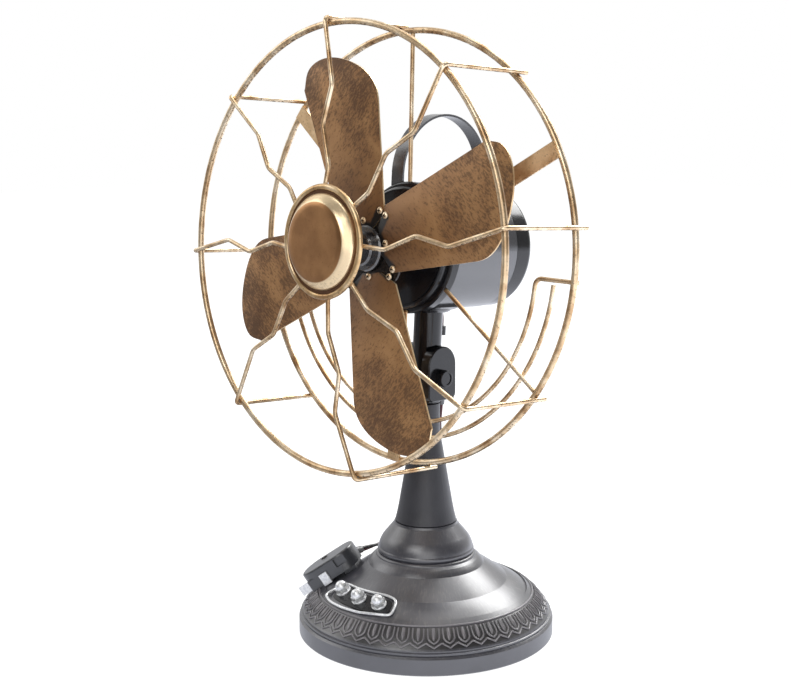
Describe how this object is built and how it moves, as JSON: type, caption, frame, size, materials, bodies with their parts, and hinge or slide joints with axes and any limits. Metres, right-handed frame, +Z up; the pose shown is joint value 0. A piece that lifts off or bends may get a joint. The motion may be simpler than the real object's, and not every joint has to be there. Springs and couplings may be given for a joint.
{
  "type": "desk fan",
  "caption": "Retro desk fan, turned by hand: wire cage with zigzag spokes, flat blades on a free-running shaft, tilting head, round bell base with a short flex and plug.",
  "frame": {"origin": "centre of the base's underside", "axes": "+Z up, the fan faces -Y, the clamp bolt's axis runs along X"},
  "size_m": [0.2774, 0.1789, 0.3958],
  "materials": {
    "aged_gold": "satin, aged gold bronze rubbed over dark",
    "blade_bronze": "brushed brown bronze with dark streaks",
    "cast_black": "satin black enamel, slightly rubbed",
    "dark_steel": "blackened steel",
    "bright_steel": "bright plated",
    "bushing_bronze": "turned",
    "black_plastic": "moulded black",
    "felt": "black felt and fibre",
    "flex": "dark twin flex"
  },
  "bodies": {
    "stand": {"base_bell": "cast_black", "base_plate": "dark_steel", "base_felt": "felt", "tie_rod": "bright_steel", "tie_washer": "bright_steel", "tie_nut": "bright_steel", "base_cup": "cast_black", "cone_column": "cast_black", "lower_post": "cast_black", "tilt_yoke": "cast_black", "tilt_washers": "felt", "tilt_nut": "dark_steel", "switch_plate": "black_plastic", "switch_trim": "bright_steel", "switch_nuts": "bright_steel", "cord_gland": "black_plastic", "mains_cord": "flex", "plug_body": "black_plastic", "plug_pins": "bright_steel"},
    "head": {"upper_post": "cast_black", "motor_saddle": "cast_black", "motor_can": "cast_black", "front_cap": "cast_black", "rear_cap": "cast_black", "rear_bracket": "dark_steel", "shaft_bushes": "bushing_bronze", "carry_handle": "cast_black", "motor_lead": "flex", "front_ring": "aged_gold", "rear_ring": "aged_gold", "medal_rim": "aged_gold", "medal_cap": "aged_gold", "rear_arc_inner": "aged_gold", "rear_arc_middle": "aged_gold", "top_stay": "aged_gold", "lower_stay": "aged_gold", "cage_strap_1": "aged_gold", "cage_strap_2": "aged_gold", "cage_strap_3": "aged_gold", "strap_screws": "aged_gold", "spoke_1": "aged_gold", "spoke_2": "aged_gold", "spoke_3": "aged_gold", "spoke_4": "aged_gold", "spoke_5": "aged_gold", "spoke_6": "aged_gold", "spoke_7": "aged_gold", "spoke_8": "aged_gold"},
    "rotor": {"shaft": "bright_steel", "shaft_collar": "bright_steel", "hub_barrel": "dark_steel", "spider": "dark_steel", "blade_1": "blade_bronze", "blade_2": "blade_bronze", "blade_3": "blade_bronze", "blade_4": "blade_bronze", "blade_screws": "aged_gold", "hub_washer": "dark_steel", "hub_nut": "dark_steel"},
    "clamp": {"tilt_bolt": "dark_steel"}
  },
  "joints": [
    {"name": "head_tilt", "type": "hinge", "parent": "stand", "child": "head", "pos_m": [0, 0, 0.1695], "axis": [1, 0, 0], "range_deg": [-26, 9]},
    {"name": "rotor_spin", "type": "hinge", "parent": "head", "child": "rotor", "pos_m": [0, -0.01469, 0.25311], "axis": [0, 0.998, -0.0638], "continuous": true},
    {"name": "clamp_turn", "type": "hinge", "parent": "stand", "child": "clamp", "pos_m": [0, 0, 0.1695], "axis": [1, 0, 0], "range_deg": [0, 180]}
  ]
}
